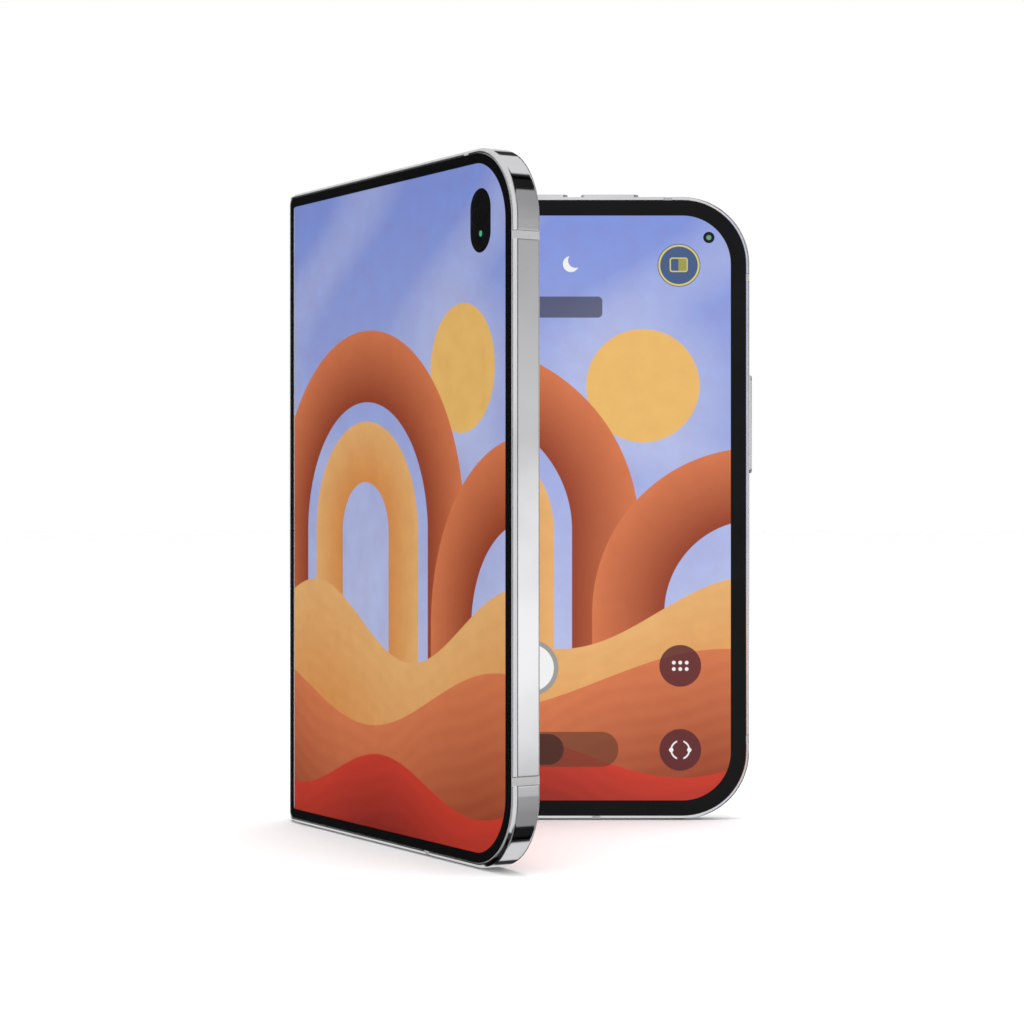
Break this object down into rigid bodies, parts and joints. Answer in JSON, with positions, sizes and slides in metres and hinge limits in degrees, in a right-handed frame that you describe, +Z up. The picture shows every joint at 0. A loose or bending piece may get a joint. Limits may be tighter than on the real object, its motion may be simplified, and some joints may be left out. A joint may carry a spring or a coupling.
{
  "type": "foldable smartphone",
  "caption": "Book-style folding phone with an inner display that bends at a spine, a cover display, side buttons and a pull-out card tray.",
  "frame": {"origin": "middle of the base of the opened phone, on the surface it stands on", "axes": "+Z up along the hinge axis, +X from the hinge to the rear half's free edge, -Y towards the viewer, where the front half points"},
  "size_m": [0.0896, 0.0819, 0.1213],
  "materials": {
    "frame_metal": "polished",
    "band_plastic": "satin",
    "back_glass": "frosted glass",
    "island_metal": "polished",
    "lens_glass": "coated glass",
    "flash_lens": "clear over white",
    "black_plastic": "moulded",
    "inner_screen": "lit flexible display",
    "rim_plastic": "moulded",
    "plate_steel": "stamped",
    "board": "lacquered",
    "battery_wrap": "wrapped foil",
    "copper": "enamelled wire",
    "switch_film": "flexible circuit",
    "magnet": "plated",
    "cover_glass": "polished",
    "cover_screen": "lit display",
    "indicator": "lit",
    "spine_metal": "polished",
    "button_metal": "polished"
  },
  "bodies": {
    "rear_half": {"rear_frame": "frame_metal", "rear_antenna_bands": "band_plastic", "back_glass": "back_glass", "camera_island": "island_metal", "camera_rings": "island_metal", "camera_lenses": "lens_glass", "camera_flash": "flash_lens", "camera_modules": "black_plastic", "inner_display_rear": "inner_screen", "display_bend": "inner_screen", "rear_rim": "rim_plastic", "inner_camera": "black_plastic", "rear_support_plate": "plate_steel", "main_board": "board", "board_screws": "plate_steel", "rear_battery": "battery_wrap", "charging_coil": "copper", "usb_shell": "plate_steel", "usb_tongue": "black_plastic", "loudspeaker": "black_plastic", "rear_hinge_arms": "plate_steel", "button_switches": "switch_film", "sim_cage": "plate_steel", "rear_magnets": "magnet"},
    "front_half": {"front_frame": "frame_metal", "front_antenna_bands": "band_plastic", "cover_glass": "cover_glass", "cover_display": "cover_screen", "cover_camera": "black_plastic", "cover_indicator": "indicator", "inner_display_front": "inner_screen", "front_rim": "rim_plastic", "front_support_plate": "plate_steel", "front_battery": "battery_wrap", "sub_board": "board", "earpiece": "black_plastic", "vibration_motor": "magnet", "front_hinge_arms": "plate_steel", "front_magnets": "magnet"},
    "spine": {"spine_cover": "spine_metal", "hinge_base": "plate_steel", "spine_end_caps": "spine_metal", "torsion_rod": "plate_steel"},
    "volume_up": {"volume_up": "button_metal"},
    "volume_down": {"volume_down": "button_metal"},
    "power_button": {"power_button": "button_metal"},
    "sim_tray": {"sim_tray": "button_metal"}
  },
  "joints": [
    {"name": "fold", "type": "hinge", "parent": "rear_half", "child": "front_half", "pos_m": [-0.04058, 0.03425, 0], "axis": [0, 0, -1], "range_deg": [-59.18, 120.7], "deforming": ["display_bend"]},
    {"name": "spine_turn", "type": "hinge", "parent": "rear_half", "child": "spine", "pos_m": [-0.04058, 0.03425, 0], "axis": [0, 0, -1], "range_deg": [-29.6, 60.4]},
    {"name": "volume_up_press", "type": "slide", "parent": "rear_half", "child": "volume_up", "axis": [0, 0, -1], "range_m": [0, 0.0003], "stiffness_N_per_m": 2500},
    {"name": "volume_down_press", "type": "slide", "parent": "rear_half", "child": "volume_down", "axis": [0, 0, -1], "range_m": [0, 0.0003], "stiffness_N_per_m": 2500},
    {"name": "power_button_press", "type": "slide", "parent": "rear_half", "child": "power_button", "axis": [-1, 0, 0], "range_m": [0, 0.0003], "stiffness_N_per_m": 2500},
    {"name": "sim_slide", "type": "slide", "parent": "rear_half", "child": "sim_tray", "axis": [0, 0, 1], "range_m": [0, 0.012]}
  ],
  "couplings": [
    {"joint": "spine_turn", "follows": "fold", "ratio": 0.5}
  ]
}
